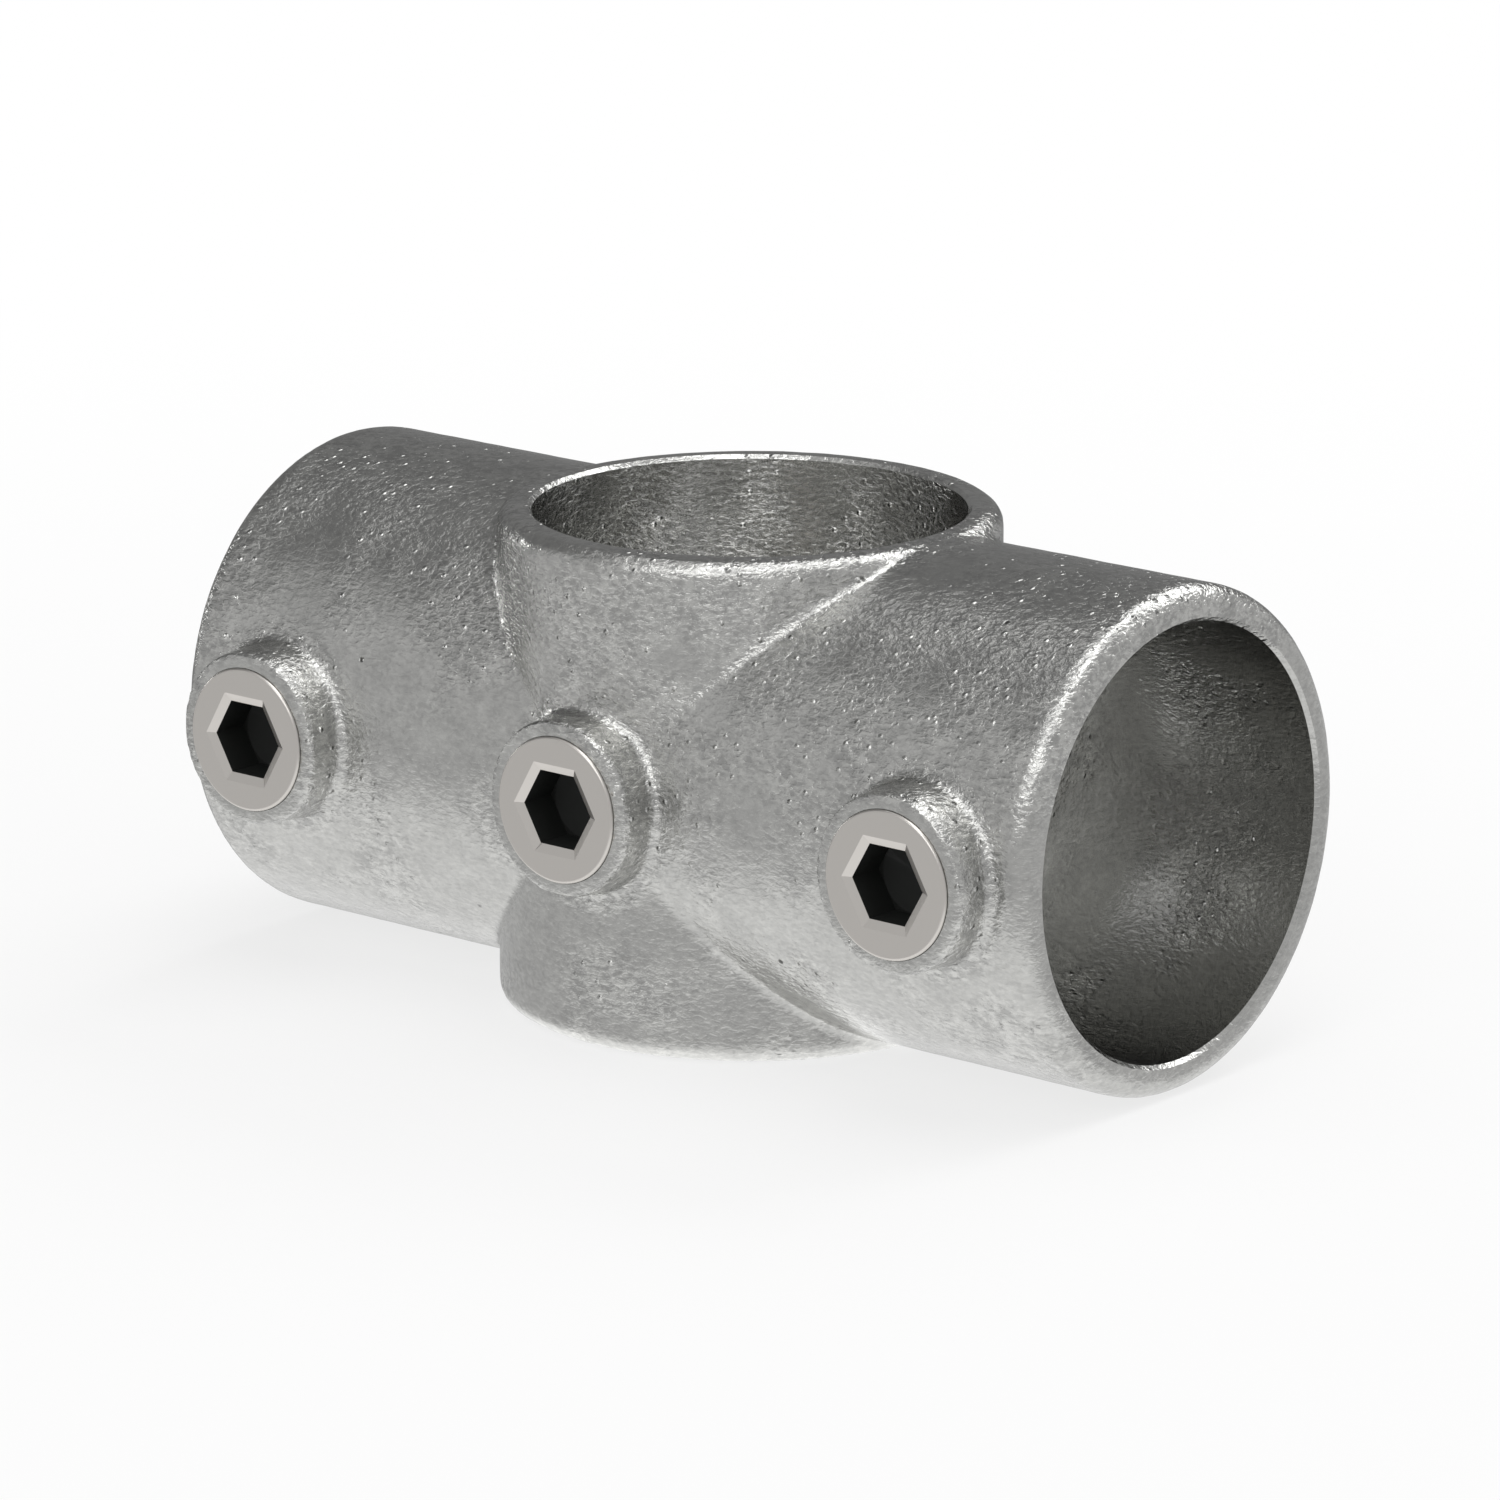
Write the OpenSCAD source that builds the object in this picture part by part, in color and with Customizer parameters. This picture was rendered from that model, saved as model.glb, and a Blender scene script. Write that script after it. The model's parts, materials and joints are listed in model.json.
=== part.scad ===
// Cross tube clamp: an upright tube passes through the collar, a level tube enters each end of the sleeve
// The axes of the upright and of the level tubes meet at the origin, and the set screws face -Y

/* [Tube] */
// Outside diameter of the tube that the clamp grips
tube_od = 48.3; // [33.7:0.1:60.3]
// Gap all round between the tube and its bore
bore_gap = 0.45; // [0.3:0.05:0.5]

/* [Casting] */
// Thickness of the wall round each bore
wall = 4; // [3.2:0.1:6]
// Depth of the socket at each end of the sleeve
socket_depth = 32; // [28:0.1:45]
// Thinnest part of the stop between a socket and the upright bore
stop_wall = 5; // [3.5:0.1:8]
// Width of the ledge that a level tube butts against
ledge_width = 12.6; // [6:0.1:14]
// How far each end face of the collar stands above the sleeve's crown
collar_rise = 0.1; // [0.1:0.05:5]
// Rounding of the sleeve's outer rims
sleeve_rim = 2.4; // [1:0.1:2.8]
// Rounding of the collar's outer rims
collar_rim = 2.1; // [1:0.1:2.8]
// Chamfer at each tube mouth
mouth_chamfer = 0.5; // [0.2:0.1:0.8]

/* [Screw bosses] */
// Diameter of each boss at its front
boss_d = 20.1; // [19:0.1:26]
// Height of each boss above the sleeve
boss_height = 4.75; // [3:0.05:10]
// Draft angle of the boss side, in degrees
boss_draft = 3; // [0.5:0.5:6]
// Rounding of the boss's front edge
boss_rim = 0.9; // [0.3:0.1:0.9]
// Distance from a sleeve mouth to the axis of its screw
screw_setback = 14.7; // [12.5:0.1:16]

/* [Set screws] */
// Outside diameter of the screw thread
screw_d = 16.66; // [13.2:0.01:16.7]
// Running gap all round between a screw and its hole
thread_gap = 0.05; // [0.02:0.01:0.1]
// How far the screw face stands out of its boss
screw_proud = 0.35; // [0:0.05:2]
// How far the screw tip stays back from the tube side of the wall
tip_setback = 0.05; // [0.05:0.05:0.5]
// Chamfer round the screw face
face_chamfer = 0.4; // [0.2:0.1:0.8]
// Chamfer round the screw tip
tip_chamfer = 1.3; // [0.5:0.1:1.8]
// Diameter of the cup in the screw tip
cup_d = 10; // [5:0.1:10]
// Depth of the cup in the screw tip
cup_depth = 1.4; // [0.5:0.1:1.8]
// Hex socket, across flats
hex_af = 8.2; // [6:0.05:8.2]
// Depth of the hex socket
hex_depth = 5; // [3:0.1:5.4]
// Width of the bevel round the hex socket
hex_bevel = 0.95; // [0.2:0.05:1]
// Depth of the bevel round the hex socket
hex_bevel_depth = 0.3; // [0.1:0.05:0.5]
// Depth of the drill point below the hex socket
drill_point = 0.9; // [0.3:0.1:1]

/* [Hidden] */
$fn = 96;

casting_colour = "#A4A6A4";
screw_colour = "#B4AEA9";

// Amount by which a cutter passes the face it opens
overcut = 1;

bore_r = tube_od / 2 + bore_gap;
shell_r = bore_r + wall;
stop_x = bore_r + stop_wall;
sleeve_half = stop_x + socket_depth;
collar_half = shell_r + collar_rise;
neck_r = bore_r - ledge_width;

boss_front = shell_r + boss_height;
boss_r = boss_d / 2;
boss_foot = bore_r + wall / 2;
boss_foot_r = boss_r + (boss_front - boss_rim - boss_foot) * tan(boss_draft);
screw_x = sleeve_half - screw_setback;

screw_r = screw_d / 2;
hole_r = screw_r + thread_gap;
face_at = boss_front + screw_proud;
tip_at = bore_r + tip_setback;
hex_floor = face_at - hex_depth;
hex_r = hex_af / 2 / cos(30);
bevel_r = (hex_af / 2 + hex_bevel) / cos(30);
bevel_slope = (bevel_r - hex_r) / hex_bevel_depth;

// Solid bar along Z with a rounded rim at both ends
module rounded_bar(radius, half_length, rim) {
    rotate_extrude()
        intersection() {
            union() {
                square([2 * radius, 2 * (half_length - rim)], center = true);
                square([2 * (radius - rim), 2 * half_length], center = true);
                for (side = [-1, 1])
                    translate([radius - rim, side * (half_length - rim)])
                        circle(r = rim);
            }
            translate([0, -half_length])
                square([radius, 2 * half_length]);
        }
}

// Puts its children at x along the sleeve, with their +Z pointing out of the front
module on_front(x) {
    translate([x, 0, 0])
        rotate([90, 0, 0])
            children();
}

// Outside of the level sleeve that takes a tube at each end
module sleeve() {
    rotate([0, 90, 0])
        rounded_bar(shell_r, sleeve_half, sleeve_rim);
}

// Outside of the upright collar that the through tube passes
module collar() {
    rounded_bar(shell_r, collar_half, collar_rim);
}

// Round boss that gives a set screw its length of thread
module screw_boss(x) {
    on_front(x) {
        rotate_extrude() {
            square([boss_r - boss_rim, boss_front]);
            square([boss_r, boss_front - boss_rim]);
            intersection() {
                translate([boss_r - boss_rim, boss_front - boss_rim])
                    circle(r = boss_rim);
                square([boss_r, boss_front]);
            }
        }
        translate([0, 0, boss_foot])
            cylinder(h = boss_front - boss_rim - boss_foot, r1 = boss_foot_r, r2 = boss_r);
    }
}

// Cutter for a mouth at height z of a bore along Z, with its lead-in chamfer
module mouth(z) {
    translate([0, 0, z - mouth_chamfer])
        cylinder(h = mouth_chamfer + overcut, r1 = bore_r, r2 = bore_r + mouth_chamfer + overcut);
}

// Through bore for the upright tube
module upright_bore() {
    cylinder(h = 2 * (collar_half + overcut), r = bore_r, center = true);
    mouth(collar_half);
    mirror([0, 0, 1])
        mouth(collar_half);
}

// Blind socket for a level tube, and the core neck that joins it to the upright bore
module level_socket(side) {
    rotate([0, side * 90, 0]) {
        translate([0, 0, stop_x])
            cylinder(h = socket_depth + overcut, r = bore_r);
        mouth(sleeve_half);
        cylinder(h = stop_x + overcut, r = neck_r);
    }
}

// Tapped hole for a set screw, drawn at the size of its thread
module screw_hole(x) {
    on_front(x)
        translate([0, 0, bore_r / 2])
            cylinder(h = boss_front + overcut - bore_r / 2, r = hole_r);
}

// The casting: sleeve, collar and three bosses, bored for the tubes and tapped for the screws
module clamp_body() {
    color(casting_colour)
        difference() {
            union() {
                sleeve();
                collar();
                for (x = [-screw_x, 0, screw_x])
                    screw_boss(x);
            }
            upright_bore();
            for (side = [-1, 1])
                level_socket(side);
            for (x = [-screw_x, 0, screw_x])
                screw_hole(x);
        }
}

// Hex socket, its bevel and the drill point at its floor
module hex_socket() {
    translate([0, 0, hex_floor])
        cylinder(h = hex_depth + overcut, r = hex_r, $fn = 6);
    translate([0, 0, face_at - hex_bevel_depth])
        cylinder(h = hex_bevel_depth + overcut, r1 = hex_r, r2 = bevel_r + overcut * bevel_slope, $fn = 6);
    translate([0, 0, hex_floor - drill_point])
        cylinder(h = drill_point, r1 = 0, r2 = hex_af / 2);
}

// Cup-point set screw at x along the sleeve
module set_screw(x) {
    color(screw_colour)
        on_front(x)
            difference() {
                rotate_extrude()
                    polygon([
                        [0, tip_at],
                        [screw_r - tip_chamfer, tip_at],
                        [screw_r, tip_at + tip_chamfer],
                        [screw_r, face_at - face_chamfer],
                        [screw_r - face_chamfer, face_at],
                        [0, face_at]
                    ]);
                hex_socket();
                translate([0, 0, tip_at - overcut])
                    cylinder(h = cup_depth + overcut, r1 = cup_d / 2 * (1 + overcut / cup_depth), r2 = 0);
            }
}

// Screw on the left level tube
module left_set_screw() {
    set_screw(-screw_x);
}

// Screw on the upright tube
module centre_set_screw() {
    set_screw(0);
}

// Screw on the right level tube
module right_set_screw() {
    set_screw(screw_x);
}

clamp_body();
left_set_screw();
centre_set_screw();
right_set_screw();
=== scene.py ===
"""Builds the look of a galvanised two-socket cross clamp for round tube, with its three set screws."""

import json
import math

import bmesh
import bpy
from bpy.props import FloatProperty, FloatVectorProperty, IntProperty, PointerProperty
from bpy.types import Operator, Panel, PropertyGroup
from mathutils import Matrix, Vector, noise


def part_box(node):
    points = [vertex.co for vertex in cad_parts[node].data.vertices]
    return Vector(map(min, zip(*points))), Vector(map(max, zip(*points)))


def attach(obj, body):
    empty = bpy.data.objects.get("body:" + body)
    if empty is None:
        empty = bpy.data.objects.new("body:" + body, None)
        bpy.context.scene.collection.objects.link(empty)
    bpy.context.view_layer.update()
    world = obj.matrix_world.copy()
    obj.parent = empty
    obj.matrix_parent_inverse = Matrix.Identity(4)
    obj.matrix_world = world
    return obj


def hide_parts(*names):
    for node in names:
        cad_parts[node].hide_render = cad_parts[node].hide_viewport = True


bl_info = {
    "name": "Cross tube clamp",
    "version": (1, 0, 0),
    "blender": (4, 5, 0),
    "location": "View3D > Sidebar > Tube Clamp",
    "description": "Builds a galvanised two-socket cross clamp and its set screws",
    "category": "Add Mesh",
}

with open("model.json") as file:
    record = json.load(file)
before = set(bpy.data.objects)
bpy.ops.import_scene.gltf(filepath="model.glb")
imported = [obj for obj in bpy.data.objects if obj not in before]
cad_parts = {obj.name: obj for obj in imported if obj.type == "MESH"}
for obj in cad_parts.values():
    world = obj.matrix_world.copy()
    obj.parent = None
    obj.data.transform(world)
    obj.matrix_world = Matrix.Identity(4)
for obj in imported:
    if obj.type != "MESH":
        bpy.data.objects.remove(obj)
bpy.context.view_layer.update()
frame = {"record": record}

MM = 0.001
FULL_TURN = 2 * math.pi

# Two points closer than this count as one
SAME_PLACE = 0.001 * MM

# Straight sides that stand for a full circle
BAR_SIDES = 128
BORE_SIDES = 180
SCREW_SIDES = 96
THREAD_SIDES = 48

# Each set screw's CAD node and the body it moves with
SCREWS = {
    "left_set_screw": "left_screw",
    "centre_set_screw": "centre_screw",
    "right_set_screw": "right_screw",
}


def linear(code):
    """Turns an sRGB hex colour into the linear colour that shaders and lamps take."""
    channels = [int(code[i : i + 2], 16) / 255 for i in (0, 2, 4)]
    return tuple(c / 12.92 if c <= 0.04045 else ((c + 0.055) / 1.055) ** 2.4 for c in channels)


def mount(name):
    """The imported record's mount of that name."""
    return next(m for m in frame["record"]["mounts"] if m["name"] == name)


def length(name, description, default):
    """A size property in metres."""
    return FloatProperty(
        name=name,
        description=description,
        default=default,
        min=0,
        unit="LENGTH",
        precision=5,
    )


def rotation(name, description, degrees):
    """An angle property with its default in degrees."""
    return FloatProperty(
        name=name,
        description=description,
        default=math.radians(degrees),
        unit="ROTATION",
    )


def colour(name, description, code):
    """A colour property whose default is an sRGB hex colour."""
    return FloatVectorProperty(
        name=name,
        description=description,
        default=linear(code),
        subtype="COLOR",
        min=0,
        max=1,
    )


# Sizes that the CAD model already has
BODY_LOW, BODY_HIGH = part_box("clamp_body")
SHELL_R = BODY_HIGH.y
SLEEVE_HALF = BODY_HIGH.x
COLLAR_HALF = BODY_HIGH.z
BOSS_FRONT = -BODY_LOW.y
BORE_R = mount("upright_bore")["dims"]["r_mm"] * MM
SOCKET_WALL = mount("right_socket")["dims"]["length_mm"] * MM
SCREW_LOW, SCREW_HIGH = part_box("right_set_screw")
SCREW_R = (SCREW_HIGH.x - SCREW_LOW.x) / 2
SCREW_FACE = -SCREW_LOW.y
SCREW_TIP = -SCREW_HIGH.y
SCREW_X = {node: sum(corner.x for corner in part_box(node)) / 2 for node in SCREWS}


class ClampCasting(PropertyGroup):
    """Sizes and finish of the iron casting."""

    sleeve_rim: length("Sleeve rim", "Rounding of the sleeve's outer rims", 2.4 * MM)
    collar_rim: length("Collar rim", "Rounding of the collar's outer rims", 2.1 * MM)
    mouth_chamfer: length("Mouth chamfer", "Chamfer at each tube mouth", 0.5 * MM)
    ledge_width: length("Ledge width", "Width of the ledge that stops a level tube", 12.6 * MM)
    boss_radius: length("Boss radius", "Radius of each screw boss at its front", 10.05 * MM)
    boss_rim: length("Boss rim", "Rounding of each boss's front edge", 0.6 * MM)
    boss_draft: rotation("Boss draft", "Draft angle of the boss sides", 3)
    thread_gap: length("Thread gap", "Gap all round between a screw and its hole", 0.05 * MM)
    grid: length("Skin grid", "Spacing of the skin's mesh", 0.56 * MM)
    crease_passes: IntProperty(
        name="Crease passes",
        description="Smoothing passes over the creases",
        default=1,
    )
    relief: length("Relief", "Depth of the unevenness that casting sand leaves", 0.09 * MM)
    zinc: colour("Zinc", "Colour of the zinc coat", "D0D0CD")
    # Reached in dull clouds of the zinc and, as painted shade, in the hollows of the grain
    dull_zinc_and_hollow_shade: colour("Dull zinc", "Colour of the zinc where it has dulled", "AEAEAC")
    pit: colour("Pits", "Colour of the small pits in the zinc", "5C5C5A")


class ClampScrews(PropertyGroup):
    """Sizes and finish of the set screws."""

    pitch: length("Pitch", "Distance from one thread to the next", 1.337 * MM)
    thread_depth: length("Thread depth", "Depth of the thread", 0.856 * MM)
    face_rim: length("Face rim", "Rounding of the edge round the face", 0.35 * MM)
    land: length("Land", "Height of the plain land between the face and the thread", 1 * MM)
    tip_chamfer: length("Tip chamfer", "Chamfer round the tip", 1.3 * MM)
    cup_radius: length("Cup radius", "Radius of the cup in the tip", 5 * MM)
    cup_depth: length("Cup depth", "Depth of the cup in the tip", 1.4 * MM)
    key_size: length("Key size", "Hex socket, across flats", 8.4 * MM)
    socket_depth: length("Socket depth", "Depth of the hex socket", 5 * MM)
    bevel_width: length("Bevel width", "Width of the bevel round the hex socket", 0.95 * MM)
    bevel_depth: length("Bevel depth", "Depth of the bevel round the hex socket", 0.5 * MM)
    drill_point: length("Drill point", "Depth of the drill point under the hex socket", 0.9 * MM)
    plating: colour("Plating", "Colour of the zinc plating", "D7D3CE")
    # Painted shade: the nearly black colour inside the hex socket stands for the shade deep in the recess
    socket: colour("Socket", "Colour of the bare steel inside the socket", "161816")


class ClampStudio(PropertyGroup):
    """Floor, lamps and camera."""

    azimuth: rotation("Azimuth", "Camera angle round the clamp", 39.904)
    elevation: rotation("Elevation", "Camera angle above the level", 15.056)
    distance: length("Distance", "From the camera to the clamp's centre", 0.942135)
    focal_length: FloatProperty(
        name="Focal length",
        description="Camera lens in millimetres",
        default=199.36,
    )
    floor_size: length("Floor size", "Side of the square floor", 6.0)
    floor: colour("Floor", "Colour of the floor", "F4F4F4")
    walls: colour("Walls", "Colour of the pale studio walls", "C9C9C9")
    curtain: colour("Curtain", "Colour of the dark curtain behind and above on the left", "828282")


def finished(piece_name, shape, smooth_below=math.radians(30), flat_towards=None):
    """Makes an object of a bmesh and frees it, smooth apart from sharp edges and faces square to an axis."""
    nearly_square = 0.99999
    bmesh.ops.triangulate(shape, faces=[face for face in shape.faces if len(face.verts) > 4])
    shape.normal_update()
    for face in shape.faces:
        face.smooth = flat_towards is None or abs(face.normal.dot(flat_towards)) < nearly_square
    for edge in shape.edges:
        edge.smooth = edge.is_manifold and edge.calc_face_angle() < smooth_below
    mesh = bpy.data.meshes.new(piece_name)
    shape.to_mesh(mesh)
    shape.free()
    piece = bpy.data.objects.new(piece_name, mesh)
    bpy.context.scene.collection.objects.link(piece)
    return piece


def with_modifiers(piece):
    """The shape that a piece has once its modifiers are applied, as a bmesh."""
    bpy.context.view_layer.update()
    applied = piece.evaluated_get(bpy.context.evaluated_depsgraph_get())
    shape = bmesh.new()
    shape.from_mesh(applied.to_mesh())
    applied.to_mesh_clear()
    return shape


def discard(piece):
    """Removes a helper object and its mesh."""
    mesh = piece.data
    bpy.data.objects.remove(piece)
    bpy.data.meshes.remove(mesh)


def combined(shape, tools, operation):
    """Cuts, joins or trims a shape with each tool shape in turn."""
    for tool in tools:
        blank = finished("blank", shape)
        cutter = finished("cutter", tool)
        step = blank.modifiers.new("Combine", "BOOLEAN")
        step.operation = operation
        step.solver = "MANIFOLD"
        step.object = cutter
        shape = with_modifiers(blank)
        discard(blank)
        discard(cutter)
    return shape


def turned(profile, segments):
    """Turns a profile of (height, radius) points round Z into a closed solid."""
    shape = bmesh.new()
    points = [shape.verts.new((radius, 0, height)) for height, radius in profile]
    lines = [shape.edges.new(pair) for pair in zip(points, points[1:])]
    bmesh.ops.spin(
        shape,
        geom=points + lines,
        cent=(0, 0, 0),
        axis=(0, 0, 1),
        angle=FULL_TURN,
        steps=segments,
        use_merge=True,
    )
    bmesh.ops.remove_doubles(shape, verts=shape.verts, dist=SAME_PLACE)
    bmesh.ops.recalc_face_normals(shape, faces=shape.faces)
    return shape


def on_front(x):
    """Turns +Z to point out of the front and moves to x along the sleeve."""
    return Matrix.Translation((x, 0, 0)) @ Matrix.Rotation(math.pi / 2, 4, "X")


def moved(shape, matrix):
    """Moves a shape and returns it."""
    bmesh.ops.transform(shape, matrix=matrix, verts=shape.verts)
    return shape


def add_bar(shape, foot_radius, front_radius, low, high, rims, matrix):
    """Adds a round bar from height low to high along the matrix's Z, with the given ends rounded."""
    made = bmesh.ops.create_cone(
        shape,
        cap_ends=True,
        segments=BAR_SIDES,
        radius1=foot_radius,
        radius2=front_radius,
        depth=high - low,
        matrix=Matrix.Translation((0, 0, (low + high) / 2)),
    )
    corners = made["verts"]
    for height, rim in rims.items():
        ring = {
            edge
            for vert in corners
            if vert.is_valid
            for edge in vert.link_edges
            if all(abs(end.co.z - height) < SAME_PLACE for end in edge.verts)
        }
        bevelled = bmesh.ops.bevel(
            shape,
            geom=list(ring),
            offset=rim,
            offset_type="OFFSET",
            segments=8,
            profile=0.5,
            affect="EDGES",
            material=-1,
            clamp_overlap=True,
        )
        corners = [vert for vert in corners if vert.is_valid] + bevelled["verts"]
    bmesh.ops.transform(shape, matrix=matrix, verts=corners)


def helical_ridge(root_r, crest_r, pitch, low, high):
    """One long ridge that winds round Z from low to high or a little past, rooted just under root_r."""
    shape = bmesh.new()
    half_root = pitch * 0.49
    half_crest = pitch * 0.1
    sunk_r = root_r - 0.1 * MM
    corners = [
        (sunk_r, -half_root),
        (root_r, -half_root),
        (crest_r, -half_crest),
        (crest_r, half_crest),
        (root_r, half_root),
        (sunk_r, half_root),
    ]
    section = shape.faces.new([shape.verts.new((radius, 0, low + height)) for radius, height in corners])
    turns = math.ceil((high - low) / pitch)
    bmesh.ops.spin(
        shape,
        geom=[section],
        cent=(0, 0, 0),
        axis=(0, 0, 1),
        dvec=(0, 0, pitch / THREAD_SIDES),
        angle=FULL_TURN * turns,
        steps=THREAD_SIDES * turns,
    )
    bmesh.ops.holes_fill(shape, edges=[edge for edge in shape.edges if edge.is_boundary])
    bmesh.ops.recalc_face_normals(shape, faces=shape.faces)
    return shape


def boss_distance(point):
    """Distance of a point on the front from the nearest boss axis."""
    if point.y > 0:
        return math.inf
    return min(math.hypot(point.x - x, point.z) for x in SCREW_X.values())


def relax(shape, verts, passes):
    """Evens out part of a skin, which rounds its creases."""
    for _ in range(passes):
        bmesh.ops.smooth_vert(
            shape, verts=verts, factor=0.5, use_axis_x=True, use_axis_y=True, use_axis_z=True
        )


def cast_skin(sizes):
    """Outside of the casting as one even skin: sleeve, collar and bosses, with blended creases."""
    shape = bmesh.new()
    along_sleeve = Matrix.Rotation(math.pi / 2, 4, "Y")
    sleeve_rims = {-SLEEVE_HALF: sizes.sleeve_rim, SLEEVE_HALF: sizes.sleeve_rim}
    collar_rims = {-COLLAR_HALF: sizes.collar_rim, COLLAR_HALF: sizes.collar_rim}
    add_bar(shape, SHELL_R, SHELL_R, -SLEEVE_HALF, SLEEVE_HALF, sleeve_rims, along_sleeve)
    add_bar(shape, SHELL_R, SHELL_R, -COLLAR_HALF, COLLAR_HALF, collar_rims, Matrix.Identity(4))
    boss_foot = BORE_R
    foot_radius = sizes.boss_radius + (BOSS_FRONT - boss_foot) * math.tan(sizes.boss_draft)
    for x in SCREW_X.values():
        rims = {BOSS_FRONT: sizes.boss_rim}
        add_bar(shape, foot_radius, sizes.boss_radius, boss_foot, BOSS_FRONT, rims, on_front(x))

    blank = finished("blank", shape)
    fuse = blank.modifiers.new("Fuse", "REMESH")
    fuse.mode = "VOXEL"
    fuse.voxel_size = sizes.grid
    skin = with_modifiers(blank)
    discard(blank)

    relax(skin, skin.verts[:], 1)
    crease_band = 5 * MM
    crease_reach = SHELL_R + 4 * MM
    creases = [
        vert
        for vert in skin.verts
        if abs(abs(vert.co.x) - abs(vert.co.z)) < crease_band
        and max(abs(vert.co.x), abs(vert.co.z)) < crease_reach
        and abs(vert.co.z) < COLLAR_HALF - sizes.collar_rim
        and abs(vert.co.y) < SHELL_R + 0.5 * MM
        and boss_distance(vert.co) > foot_radius
    ]
    relax(skin, creases, sizes.crease_passes)
    return skin


def roughen(skin, depth):
    """Sinks the skin unevenly, by up to depth, the way sand leaves a casting."""
    waves = ((5 * MM, 0.5), (2.2 * MM, 0.5))
    skin.normal_update()
    drops = [
        sum(share * (1 + noise.noise(vert.co / wave)) / 2 for wave, share in waves) for vert in skin.verts
    ]
    for vert, drop in zip(skin.verts, drops):
        vert.co -= vert.normal * depth * drop


def tube_bores(sizes):
    """Cutters for the upright bore and for the two level sockets with the core neck between them."""
    past = 2 * MM
    chamfer = sizes.mouth_chamfer
    stop = SLEEVE_HALF - chamfer - SOCKET_WALL
    neck_r = BORE_R - sizes.ledge_width

    def mouth(end):
        flare = BORE_R + chamfer + past
        return [(end - chamfer, BORE_R), (end + past, flare), (end + past, 0)]

    def both_ways(half):
        return [(-height, radius) for height, radius in reversed(half)] + half

    upright = turned(both_ways(mouth(COLLAR_HALF)), BORE_SIDES)
    level = turned(both_ways([(stop, neck_r), (stop, BORE_R)] + mouth(SLEEVE_HALF)), BORE_SIDES)
    return [upright, moved(level, Matrix.Rotation(math.pi / 2, 4, "Y"))]


def screw_holes(sizes):
    """Cutters for the three screw holes."""
    past = 2 * MM
    hole_r = SCREW_R + sizes.thread_gap
    profile = [(BORE_R / 2, 0), (BORE_R / 2, hole_r), (BOSS_FRONT + past, hole_r), (BOSS_FRONT + past, 0)]
    return [moved(turned(profile, SCREW_SIDES), on_front(x)) for x in SCREW_X.values()]


def build_casting(sizes):
    """Makes the casting and puts it in place of the CAD body."""
    skin = cast_skin(sizes)
    roughen(skin, sizes.relief)
    shape = combined(skin, tube_bores(sizes) + screw_holes(sizes), "DIFFERENCE")
    casting = finished("galvanised_casting", shape)
    casting.data.materials.append(galvanised_iron(sizes))
    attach(casting, "clamp")
    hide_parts("clamp_body")


def hexagon(low, high, low_radius, high_radius):
    """Six-sided cutter with its corners along X."""
    shape = bmesh.new()
    bmesh.ops.create_cone(
        shape,
        cap_ends=True,
        segments=6,
        radius1=low_radius,
        radius2=high_radius,
        depth=high - low,
        matrix=Matrix.Translation((0, 0, (low + high) / 2)) @ Matrix.Rotation(math.pi / 6, 4, "Z"),
    )
    return shape


def socket_cutters(sizes):
    """Cutters for the hex socket, its bevel and the drill point at its floor."""
    past = 1 * MM
    floor = SCREW_FACE - sizes.socket_depth
    flat = sizes.key_size / 2
    corner = flat / math.cos(math.pi / 6)
    bevel_corner = (flat + sizes.bevel_width) / math.cos(math.pi / 6)
    spread = (bevel_corner - corner) / sizes.bevel_depth
    bevel = hexagon(SCREW_FACE - sizes.bevel_depth, SCREW_FACE + past, corner, bevel_corner + past * spread)
    drill = turned(
        [
            (floor - sizes.drill_point, 0),
            (floor, flat),
            (floor + past, flat),
            (floor + past, 0),
        ],
        THREAD_SIDES,
    )
    return [hexagon(floor, SCREW_FACE + past, corner, corner), bevel, drill]


def screw_shape(sizes):
    """Set screw along Z: a threaded bar trimmed to its chamfers, with a hex socket and a cup in its tip."""
    root_r = SCREW_R - sizes.thread_depth
    past = sizes.pitch
    trimmed_off = 0.05 * MM
    full_r = SCREW_R + trimmed_off
    land_foot = SCREW_FACE - sizes.land
    core = turned(
        [
            (SCREW_TIP - past, 0),
            (SCREW_TIP - past, root_r),
            (land_foot - sizes.thread_depth / 2, root_r),
            (land_foot, full_r),
            (SCREW_FACE + past, full_r),
            (SCREW_FACE + past, 0),
        ],
        SCREW_SIDES,
    )
    rim_steps = 8
    rim_angles = [math.pi / 2 * step / rim_steps for step in range(rim_steps + 1)]
    rim = [
        (
            SCREW_FACE - sizes.face_rim * (1 - math.sin(angle)),
            SCREW_R - sizes.face_rim * (1 - math.cos(angle)),
        )
        for angle in rim_angles
    ]
    envelope = turned(
        [
            (SCREW_TIP + sizes.cup_depth, 0),
            (SCREW_TIP, sizes.cup_radius),
            (SCREW_TIP, SCREW_R - sizes.tip_chamfer),
            (SCREW_TIP + sizes.tip_chamfer, SCREW_R),
            *rim,
            (SCREW_FACE, 0),
        ],
        SCREW_SIDES,
    )
    thread = helical_ridge(root_r, full_r, sizes.pitch, SCREW_TIP - sizes.pitch, land_foot)
    threaded = combined(core, [thread], "UNION")
    trimmed = combined(threaded, [envelope], "INTERSECT")
    return combined(trimmed, socket_cutters(sizes), "DIFFERENCE")


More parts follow.
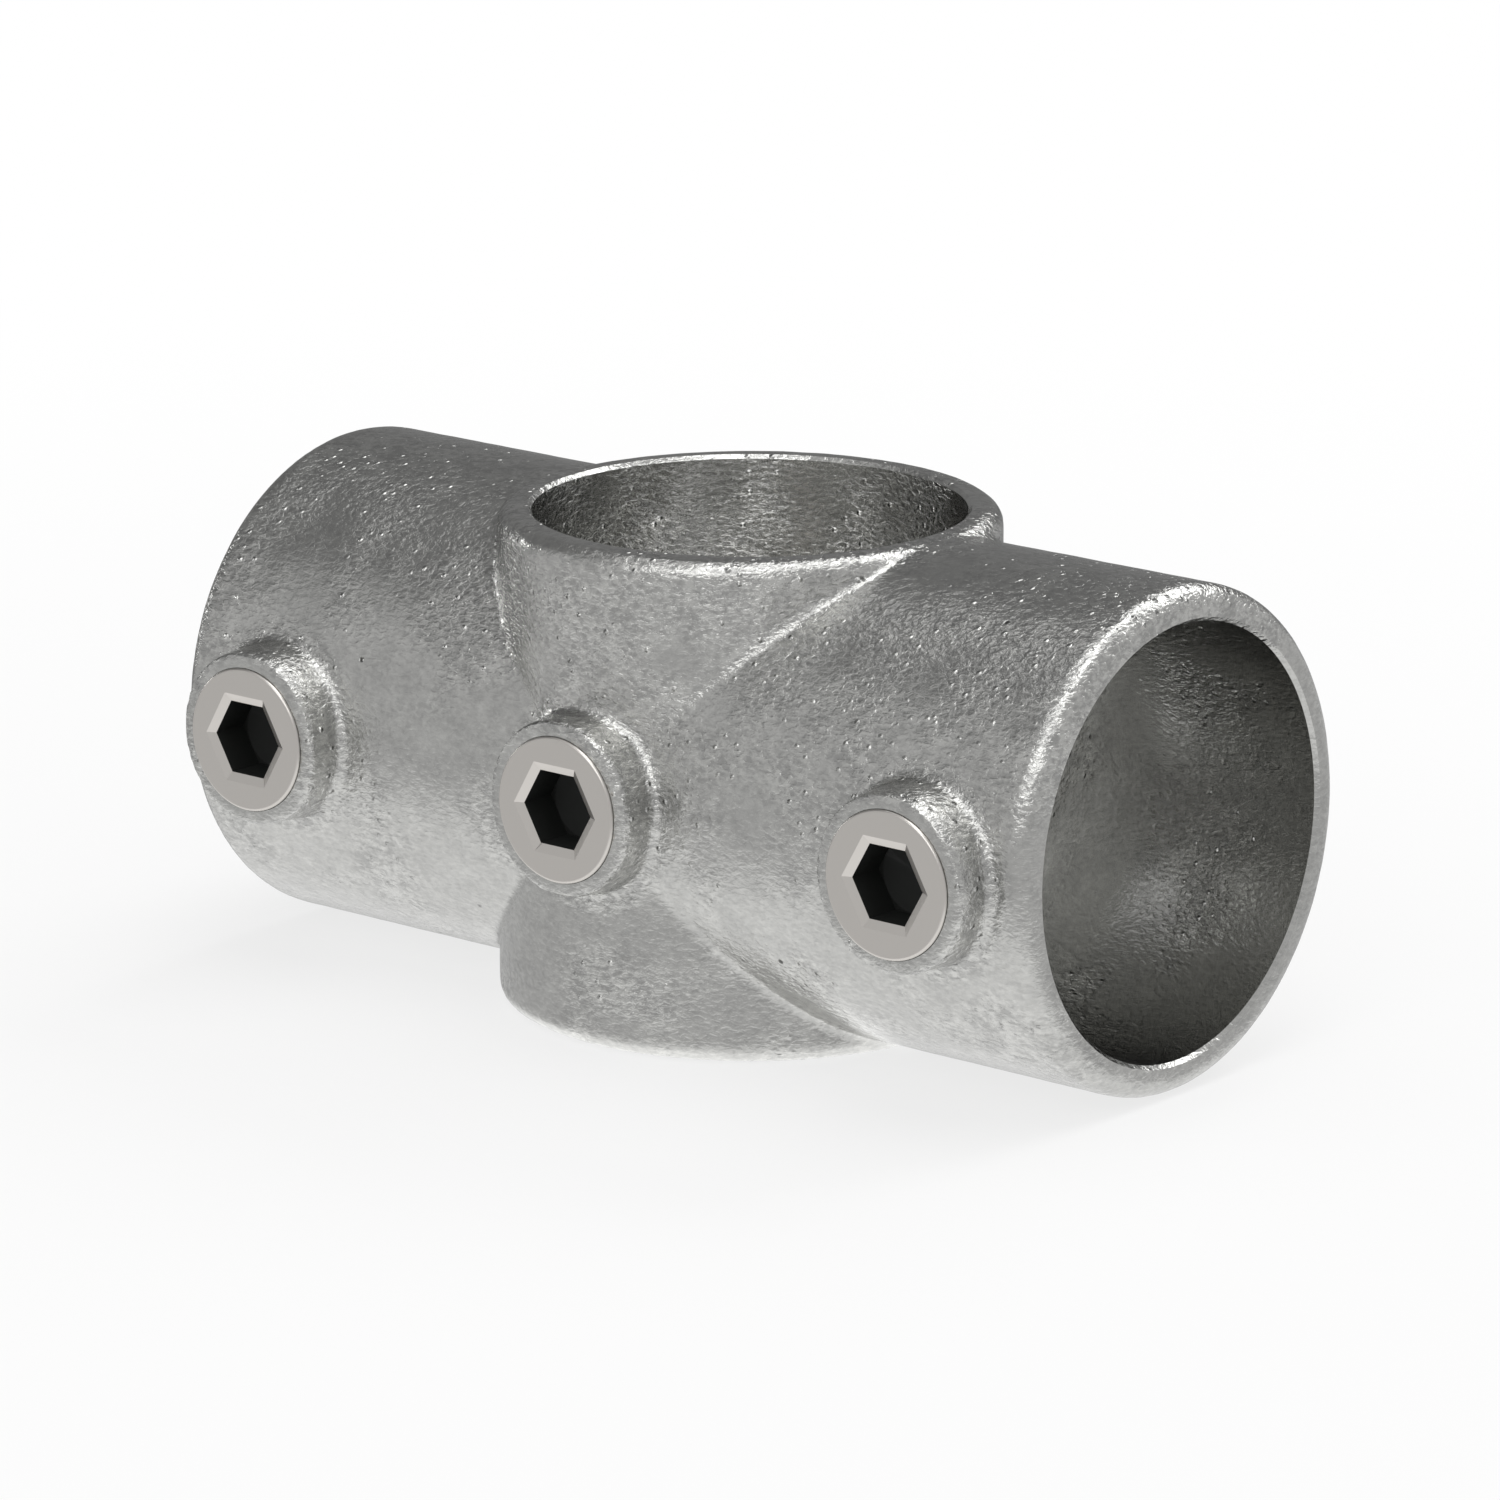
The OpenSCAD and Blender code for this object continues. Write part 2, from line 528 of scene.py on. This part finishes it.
def build_screws(sizes):
    """Makes the three set screws and puts them in place of the CAD ones."""
    pattern = screw_shape(sizes)
    finishes = [plated_steel(sizes), socket_shade_steel(sizes)]
    sharp_above = math.radians(12)
    along_axis = Vector((0, 1, 0))
    socket_reach = sizes.key_size / 2 / math.cos(math.pi / 6) + 0.02 * MM
    for node, body in SCREWS.items():
        shape = pattern.copy()
        # Faces deep in the hex socket take the nearly black finish, which is painted shade
        for face in shape.faces:
            middle = face.calc_center_median()
            inside = math.hypot(middle.x, middle.y) < socket_reach
            above_cup = middle.z > SCREW_TIP + sizes.cup_depth + 0.1 * MM
            face.material_index = int(inside and above_cup and middle.z < SCREW_FACE - sizes.bevel_depth)
        shape = moved(shape, on_front(SCREW_X[node]))
        screw = finished(node.replace("_set_screw", "_threaded_screw"), shape, sharp_above, along_axis)
        for finish in finishes:
            screw.data.materials.append(finish)
        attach(screw, body)
        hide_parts(node)
    pattern.free()


def add_node(tree, kind, settings=None, links=None):
    """Adds a node, sets its properties and input values, and links its inputs."""
    node = tree.nodes.new(kind)
    for key, value in (settings or {}).items():
        if isinstance(key, int) or key in node.inputs:
            node.inputs[key].default_value = value
        else:
            setattr(node, key, value)
    for key, source in (links or {}).items():
        tree.links.new(source, node.inputs[key])
    return node


def new_material(name):
    """An empty node material and its tree."""
    material = bpy.data.materials.new(name)
    material.use_nodes = True
    material.node_tree.nodes.clear()
    return material, material.node_tree


def opaque(code):
    """A colour with full alpha, for a node socket."""
    return (*code, 1)


def galvanised_iron(sizes):
    """Hot-dip galvanised malleable iron: soft metal gloss, over a skin that is grainy from the sand mould."""
    material, tree = new_material("hot_dip_galvanised_iron")
    place = add_node(tree, "ShaderNodeTexCoord").outputs["Object"]
    per_metre = 1 / MM

    # Grain about 0.9 mm long and half as high, the sand of the mould softened by the zinc
    flattened = add_node(
        tree,
        "ShaderNodeVectorMath",
        {"operation": "MULTIPLY", 1: (0.7, 0.7, 1.3)},
        {0: place},
    )
    grain = add_node(
        tree,
        "ShaderNodeTexNoise",
        {"Scale": per_metre / 0.65, "Detail": 3.0, "Roughness": 0.55, "Distortion": 0.5},
        {"Vector": flattened.outputs[0]},
    )

    # Patches about 13 mm across, from nearly smooth to coarse grain, and smoother where the zinc ran down
    patches = add_node(
        tree,
        "ShaderNodeTexNoise",
        {"Scale": per_metre / 13, "Detail": 2.0},
        {"Vector": place},
    )
    axes = add_node(tree, "ShaderNodeSeparateXYZ", links={0: place})
    drained = add_node(
        tree,
        "ShaderNodeMapRange",
        {"From Min": -0.005, "From Max": 0.02, "To Min": -0.13, "To Max": 0.03},
        {"Value": axes.outputs["Z"]},
    )
    unevenness = add_node(
        tree,
        "ShaderNodeMath",
        {"operation": "ADD"},
        {0: patches.outputs["Fac"], 1: drained.outputs["Result"]},
    )
    coarse_patch = add_node(
        tree,
        "ShaderNodeMapRange",
        {"interpolation_type": "SMOOTHSTEP", "From Min": 0.36, "From Max": 0.6},
        {"Value": unevenness.outputs[0]},
    )

    # The sides and feet of the three bosses are coarse all round: their axes are one even step apart in X
    along = add_node(
        tree,
        "ShaderNodeMath",
        {"operation": "PINGPONG", 1: SCREW_X["right_set_screw"] / 2},
        {0: axes.outputs["X"]},
    )
    across = add_node(
        tree,
        "ShaderNodeCombineXYZ",
        links={"X": along.outputs[0], "Z": axes.outputs["Z"]},
    )
    from_axis = add_node(tree, "ShaderNodeVectorMath", {"operation": "LENGTH"}, {0: across.outputs[0]})
    beyond_rim = add_node(
        tree,
        "ShaderNodeMapRange",
        {"interpolation_type": "SMOOTHSTEP", "From Min": 8.9 * MM, "From Max": 9.9 * MM},
        {"Value": from_axis.outputs["Value"]},
    )
    in_front = add_node(
        tree,
        "ShaderNodeMath",
        {"operation": "LESS_THAN", 1: -BORE_R},
        {0: axes.outputs["Y"]},
    )
    within_foot = add_node(
        tree,
        "ShaderNodeMapRange",
        {
            "interpolation_type": "SMOOTHSTEP",
            "From Min": 11.2 * MM,
            "From Max": 13.5 * MM,
            "To Max": 0.0,
        },
        {"Value": from_axis.outputs["Value"], "To Min": in_front.outputs[0]},
    )
    coarse_boss = add_node(
        tree,
        "ShaderNodeMath",
        {"operation": "MULTIPLY"},
        {0: beyond_rim.outputs["Result"], 1: within_foot.outputs["Result"]},
    )
    coarse = add_node(
        tree,
        "ShaderNodeMath",
        {"operation": "MAXIMUM"},
        {0: coarse_patch.outputs["Result"], 1: coarse_boss.outputs[0]},
    )

    # The zinc dulls in clouds about 4 mm across, and the hollows of the grain are darker as painted shade
    # that gives the grain a lit relief, both most where it is coarse
    clouds = add_node(
        tree,
        "ShaderNodeTexNoise",
        {"Scale": per_metre / 4, "Detail": 6.0, "Roughness": 0.78},
        {"Vector": place},
    )
    mottle_and_hollow_shade = add_node(
        tree,
        "ShaderNodeMath",
        {"operation": "ADD"},
        {0: grain.outputs["Fac"], 1: clouds.outputs["Fac"]},
    )
    centred = add_node(
        tree,
        "ShaderNodeMapRange",
        {"From Max": 2.0, "To Min": -1.0},
        {"Value": mottle_and_hollow_shade.outputs[0]},
    )
    contrast = add_node(
        tree,
        "ShaderNodeMapRange",
        {"To Min": 0.45, "To Max": 1.2},
        {"Value": coarse.outputs[0]},
    )
    brightness = add_node(
        tree,
        "ShaderNodeMath",
        {"operation": "MULTIPLY_ADD", 2: 0.5},
        {0: centred.outputs["Result"], 1: contrast.outputs["Result"]},
    )
    dulled = add_node(
        tree,
        "ShaderNodeMapRange",
        {"From Min": 0.34, "From Max": 0.66},
        {"Value": brightness.outputs[0]},
    )
    tint = add_node(
        tree,
        "ShaderNodeMix",
        {"data_type": "RGBA", "A": opaque(sizes.dull_zinc_and_hollow_shade), "B": opaque(sizes.zinc)},
        {0: dulled.outputs["Result"]},
    )

    # Pits 0.6 mm across and about 7 mm apart, dark inside
    pit_cells = add_node(tree, "ShaderNodeTexVoronoi", {"Scale": per_metre / 7}, {"Vector": place})
    pits = add_node(
        tree,
        "ShaderNodeMapRange",
        {
            "interpolation_type": "SMOOTHSTEP",
            "From Min": 0.02,
            "From Max": 0.06,
            "To Min": 1.0,
            "To Max": 0.0,
        },
        {"Value": pit_cells.outputs["Distance"]},
    )
    pitted = add_node(
        tree,
        "ShaderNodeMix",
        {"data_type": "RGBA", "B": opaque(sizes.pit)},
        {0: pits.outputs["Result"], "A": tint.outputs["Result"]},
    )

    # Pimples 0.8 mm across and about 1.8 mm apart, which stand up only in the coarse patches
    pimple_cells = add_node(tree, "ShaderNodeTexVoronoi", {"Scale": per_metre / 1.8}, {"Vector": place})
    pimples = add_node(
        tree,
        "ShaderNodeMapRange",
        {"interpolation_type": "SMOOTHSTEP", "From Min": 0.0, "From Max": 0.22, "To Max": 0.0},
        {"Value": pimple_cells.outputs["Distance"], "To Min": coarse.outputs[0]},
    )

    # Heights in millimetres: the grain, then the pimples on it, then the pits in it
    grain_height = add_node(
        tree,
        "ShaderNodeMapRange",
        {"To Min": 0.09, "To Max": 0.24},
        {"Value": coarse.outputs[0]},
    )
    grained = add_node(
        tree,
        "ShaderNodeMath",
        {"operation": "MULTIPLY"},
        {0: grain.outputs["Fac"], 1: grain_height.outputs["Result"]},
    )
    raised = add_node(
        tree,
        "ShaderNodeMath",
        {"operation": "MULTIPLY_ADD", 1: 0.26},
        {0: pimples.outputs["Result"], 2: grained.outputs[0]},
    )
    height = add_node(
        tree,
        "ShaderNodeMath",
        {"operation": "MULTIPLY_ADD", 1: -0.12},
        {0: pits.outputs["Result"], 2: raised.outputs[0]},
    )
    bump = add_node(
        tree,
        "ShaderNodeBump",
        {"Strength": 1.0, "Distance": MM},
        {"Height": height.outputs[0]},
    )

    # The dull zinc is the rougher one
    rough = add_node(
        tree,
        "ShaderNodeMapRange",
        {"To Min": 0.22, "To Max": 0.13},
        {"Value": dulled.outputs["Result"]},
    )
    surface = add_node(
        tree,
        "ShaderNodeBsdfPrincipled",
        {"Metallic": 1.0},
        {
            "Base Color": pitted.outputs["Result"],
            "Roughness": rough.outputs["Result"],
            "Normal": bump.outputs["Normal"],
        },
    )
    add_node(tree, "ShaderNodeOutputMaterial", links={"Surface": surface.outputs["BSDF"]})
    return material


def plated_steel(sizes):
    """Bright zinc plated steel: a warm satin gloss with a very fine grain."""
    material, tree = new_material("zinc_plated_steel")
    place = add_node(tree, "ShaderNodeTexCoord").outputs["Object"]
    grain = add_node(
        tree,
        "ShaderNodeTexNoise",
        {"Scale": 1 / (0.5 * MM), "Detail": 2.0, "Roughness": 0.5},
        {"Vector": place},
    )
    bump = add_node(
        tree,
        "ShaderNodeBump",
        {"Strength": 1.0, "Distance": 0.006 * MM},
        {"Height": grain.outputs["Fac"]},
    )
    surface = add_node(
        tree,
        "ShaderNodeBsdfPrincipled",
        {"Metallic": 1.0, "Roughness": 0.28, "Base Color": opaque(sizes.plating)},
        {"Normal": bump.outputs["Normal"]},
    )
    add_node(tree, "ShaderNodeOutputMaterial", links={"Surface": surface.outputs["BSDF"]})
    return material


def socket_shade_steel(sizes):
    """Nearly black, dull steel inside the socket: painted shade that stands for the shade deep in the recess.
    """
    material, tree = new_material("socket_painted_shade")
    place = add_node(tree, "ShaderNodeTexCoord").outputs["Object"]
    stains = add_node(
        tree,
        "ShaderNodeTexNoise",
        {"Scale": 1 / (1.5 * MM), "Detail": 2.0},
        {"Vector": place},
    )
    rough = add_node(
        tree,
        "ShaderNodeMapRange",
        {"To Min": 0.5, "To Max": 0.7},
        {"Value": stains.outputs["Fac"]},
    )
    surface = add_node(
        tree,
        "ShaderNodeBsdfPrincipled",
        {"Metallic": 0.0, "Base Color": opaque(sizes.socket)},
        {"Roughness": rough.outputs["Result"]},
    )
    add_node(tree, "ShaderNodeOutputMaterial", links={"Surface": surface.outputs["BSDF"]})
    return material


def surround_colour(tree, toward, sizes):
    """Colour of the studio towards a direction: pale walls, and one dark curtain behind on the left."""
    curtain_azimuth = math.radians(-125)
    curtain_elevation = math.radians(30)
    turn = Matrix.Rotation(curtain_azimuth, 3, "Z") @ Matrix.Rotation(-curtain_elevation, 3, "X")
    curtain = turn @ Vector((0, -1, 0))
    nearness = add_node(
        tree,
        "ShaderNodeVectorMath",
        {"operation": "DOT_PRODUCT", 1: curtain},
        {0: toward},
    )
    share = add_node(
        tree,
        "ShaderNodeMapRange",
        {"interpolation_type": "SMOOTHSTEP", "From Min": 0.36, "From Max": 0.76},
        {"Value": nearness.outputs["Value"]},
    )
    mix = add_node(
        tree,
        "ShaderNodeMix",
        {"data_type": "RGBA", "A": opaque(sizes.walls), "B": opaque(sizes.curtain)},
        {0: share.outputs["Result"]},
    )
    return mix.outputs["Result"]


def floor_finish(sizes):
    """Matt white paper that keeps the clamp's shadow, mixed with a glow that turns it pure white further out.

    In reflections it glows with the colours of the studio, a painted reflection. Steep ones show a painted
    pool of light under and in front of the clamp, and the collar's rim also shows a painted bright ring just
    under it.
    """
    material, tree = new_material("matt_white_paper_and_painted_glow")
    place = add_node(tree, "ShaderNodeTexCoord").outputs["Object"]
    toward = add_node(tree, "ShaderNodeVectorMath", {"operation": "NORMALIZE"}, {0: place})

    # The painted pool of light is longer along the sleeve, and its middle is 25 mm in front of the clamp's
    pool_place = add_node(
        tree,
        "ShaderNodeVectorMath",
        {"operation": "MULTIPLY_ADD", 1: (0.35, 1, 0), 2: (0, 25 * MM, 0)},
        {0: place},
    )
    reach = add_node(tree, "ShaderNodeVectorMath", {"operation": "LENGTH"}, {0: pool_place.outputs[0]})
    pool = add_node(
        tree,
        "ShaderNodeMapRange",
        {
            "interpolation_type": "SMOOTHSTEP",
            "From Min": 40 * MM,
            "From Max": 90 * MM,
            "To Min": 1.0,
            "To Max": 0.0,
        },
        {"Value": reach.outputs["Value"]},
    )

    # Only rays that come down steeply see it
    slant = add_node(tree, "ShaderNodeLayerWeight", {"Blend": 0.5})
    steep = add_node(
        tree,
        "ShaderNodeMapRange",
        {
            "interpolation_type": "SMOOTHSTEP",
            "From Min": 0.4,
            "From Max": 0.66,
            "To Min": 1.0,
            "To Max": 0.0,
        },
        {"Value": slant.outputs["Facing"]},
    )
    painted_pool_seen = add_node(
        tree,
        "ShaderNodeMath",
        {"operation": "MULTIPLY"},
        {0: pool.outputs["Result"], 1: steep.outputs["Result"]},
    )

    # The floor glows: the camera sees it white, and reflections see it glow in the studio's colours with the
    # painted pool of light in them
    ray = add_node(tree, "ShaderNodeLightPath")
    seen = add_node(
        tree,
        "ShaderNodeMath",
        {"operation": "MAXIMUM"},
        {0: ray.outputs["Is Camera Ray"], 1: ray.outputs["Is Transmission Ray"]},
    )
    whiteness = add_node(
        tree,
        "ShaderNodeMath",
        {"operation": "MAXIMUM"},
        {0: painted_pool_seen.outputs[0], 1: seen.outputs[0]},
    )
    glow = add_node(
        tree,
        "ShaderNodeMix",
        {"data_type": "RGBA", "B": (1, 1, 1, 1)},
        {0: whiteness.outputs[0], "A": surround_colour(tree, toward.outputs[0], sizes)},
    )
    paper = add_node(tree, "ShaderNodeBsdfDiffuse", {"Color": opaque(sizes.floor)})

    # Distances here are from the clamp's centre, which is above the floor
    away = add_node(tree, "ShaderNodeVectorMath", {"operation": "LENGTH"}, {0: place})
    # A painted bright ring on the floor just under the collar's rim, which only reflections see
    painted_rim_ring = add_node(
        tree,
        "ShaderNodeMapRange",
        {
            "interpolation_type": "SMOOTHSTEP",
            "From Min": math.hypot(SHELL_R, COLLAR_HALF),
            "From Max": math.hypot(SHELL_R + 1.5 * MM, COLLAR_HALF),
            "To Min": 0.4,
            "To Max": 0.0,
        },
        {"Value": away.outputs["Value"]},
    )
    strength = add_node(
        tree,
        "ShaderNodeMath",
        {"operation": "MULTIPLY_ADD", 2: 1.0},
        {0: painted_rim_ring.outputs["Result"], 1: ray.outputs["Is Glossy Ray"]},
    )
    white = add_node(
        tree,
        "ShaderNodeEmission",
        links={"Color": glow.outputs["Result"], "Strength": strength.outputs[0]},
    )
    pure = add_node(
        tree,
        "ShaderNodeMapRange",
        {
            "interpolation_type": "SMOOTHSTEP",
            "From Min": 80 * MM,
            "From Max": 400 * MM,
            "To Min": 0.72,
            "To Max": 1.0,
        },
        {"Value": away.outputs["Value"]},
    )
    seen_share = add_node(
        tree,
        "ShaderNodeMath",
        {"operation": "MULTIPLY"},
        {0: seen.outputs[0], 1: pure.outputs["Result"]},
    )
    mirrored_share = add_node(
        tree,
        "ShaderNodeMath",
        {"operation": "MULTIPLY_ADD", 1: 0.95},
        {0: ray.outputs["Is Glossy Ray"], 2: seen_share.outputs[0]},
    )
    face = add_node(
        tree,
        "ShaderNodeMixShader",
        links={0: mirrored_share.outputs[0], 1: paper.outputs[0], 2: white.outputs[0]},
    )

    # Clear from below, so that the clamp's underside can be seen
    side = add_node(tree, "ShaderNodeNewGeometry")
    clear = add_node(tree, "ShaderNodeBsdfTransparent")
    surface = add_node(
        tree,
        "ShaderNodeMixShader",
        links={0: side.outputs["Backfacing"], 1: face.outputs[0], 2: clear.outputs[0]},
    )
    add_node(tree, "ShaderNodeOutputMaterial", links={"Surface": surface.outputs[0]})
    return material


def build_studio(sizes):
    """Makes the floor, the surround, the lamps and the camera."""
    scene = bpy.context.scene
    shape = bmesh.new()
    bmesh.ops.create_grid(
        shape,
        x_segments=1,
        y_segments=1,
        size=sizes.floor_size / 2,
        matrix=Matrix.Translation((0, 0, -COLLAR_HALF)),
    )
    floor = finished("floor", shape)
    floor.data.materials.append(floor_finish(sizes))

    world = bpy.data.worlds.new("studio")
    world.use_nodes = True
    tree = world.node_tree
    tree.nodes.clear()
    direction = add_node(tree, "ShaderNodeTexCoord").outputs["Generated"]
    surround = surround_colour(tree, direction, sizes)
    ray = add_node(tree, "ShaderNodeLightPath")
    around = add_node(tree, "ShaderNodeBackground", {"Strength": 1.0}, {"Color": surround})
    white = add_node(tree, "ShaderNodeBackground", {"Color": (1, 1, 1, 1), "Strength": 1.0})
    shown = add_node(
        tree,
        "ShaderNodeMixShader",
        links={0: ray.outputs["Is Camera Ray"], 1: around.outputs[0], 2: white.outputs[0]},
    )
    add_node(tree, "ShaderNodeOutputWorld", links={"Surface": shown.outputs[0]})
    scene.world = world

    # Direction from the clamp, distance, width, height and power of each softbox
    lamps = {
        "top_softbox": ((0.12, 0.02, 1), 1.2, 1.4, 0.55, 4.8),
        "back_softbox": ((0.053, 0.753, 0.656), 1.2, 0.87, 0.5, 4.5),
        "front_softbox": ((0.217, -0.757, 0.616), 1.2, 1.05, 0.5, 2.3),
        "left_softbox": ((-0.98, -0.05, 0.1), 1.2, 0.15, 0.15, 0.42),
        "high_left_softbox": ((-0.41, 0.03, 0.91), 1.2, 0.5, 0.5, 0.45),
    }
    for name, (direction, distance, width, height, power) in lamps.items():
        light = bpy.data.lights.new(name, "AREA")
        light.shape = "RECTANGLE"
        light.size = width
        light.size_y = height
        light.energy = power
        lamp = bpy.data.objects.new(name, light)
        toward = Vector(direction).normalized()
        lamp.location = toward * distance
        lamp.rotation_euler = toward.to_track_quat("Z", "Y").to_euler()
        scene.collection.objects.link(lamp)

    lens = bpy.data.cameras.new("camera")
    lens.lens = sizes.focal_length
    lens.sensor_width = 36
    lens.clip_start = 10 * MM
    lens.clip_end = 20
    camera = bpy.data.objects.new("camera", lens)
    back = Vector(
        (
            math.sin(sizes.azimuth) * math.cos(sizes.elevation),
            -math.cos(sizes.azimuth) * math.cos(sizes.elevation),
            math.sin(sizes.elevation),
        )
    )
    camera.location = back * sizes.distance
    camera.rotation_euler = back.to_track_quat("Z", "Y").to_euler()
    scene.collection.objects.link(camera)
    scene.camera = camera
    scene.view_settings.view_transform = "Standard"


class CLAMP_OT_casting(Operator):
    """Build the galvanised casting"""

    bl_idname = "clamp.casting"
    bl_label = "Casting"

    def execute(self, context):
        build_casting(context.scene.clamp_casting)
        return {"FINISHED"}


class CLAMP_OT_screws(Operator):
    """Build the three set screws"""

    bl_idname = "clamp.screws"
    bl_label = "Set Screws"

    def execute(self, context):
        build_screws(context.scene.clamp_screws)
        return {"FINISHED"}


class CLAMP_OT_studio(Operator):
    """Build the floor, the lamps and the camera"""

    bl_idname = "clamp.studio"
    bl_label = "Studio"

    def execute(self, context):
        build_studio(context.scene.clamp_studio)
        return {"FINISHED"}


class CLAMP_PT_panel(Panel):
    """Lists the clamp's builders"""

    bl_label = "Tube Clamp"
    bl_space_type = "VIEW_3D"
    bl_region_type = "UI"
    bl_category = "Tube Clamp"

    def draw(self, context):
        for operator in OPERATORS:
            self.layout.operator(operator.bl_idname)


SETTINGS = {"clamp_casting": ClampCasting, "clamp_screws": ClampScrews, "clamp_studio": ClampStudio}
OPERATORS = (CLAMP_OT_studio, CLAMP_OT_casting, CLAMP_OT_screws)


def register():
    for group in SETTINGS.values():
        bpy.utils.register_class(group)
    for name, group in SETTINGS.items():
        setattr(bpy.types.Scene, name, PointerProperty(type=group))
    for item in (*OPERATORS, CLAMP_PT_panel):
        bpy.utils.register_class(item)


def unregister():
    for item in (CLAMP_PT_panel, *reversed(OPERATORS)):
        bpy.utils.unregister_class(item)
    for name, group in SETTINGS.items():
        delattr(bpy.types.Scene, name)
        bpy.utils.unregister_class(group)


def main():
    """Builds the whole scene."""
    register()
    bpy.ops.clamp.studio()
    bpy.ops.clamp.casting()
    bpy.ops.clamp.screws()


if __name__ == "__main__":
    main()
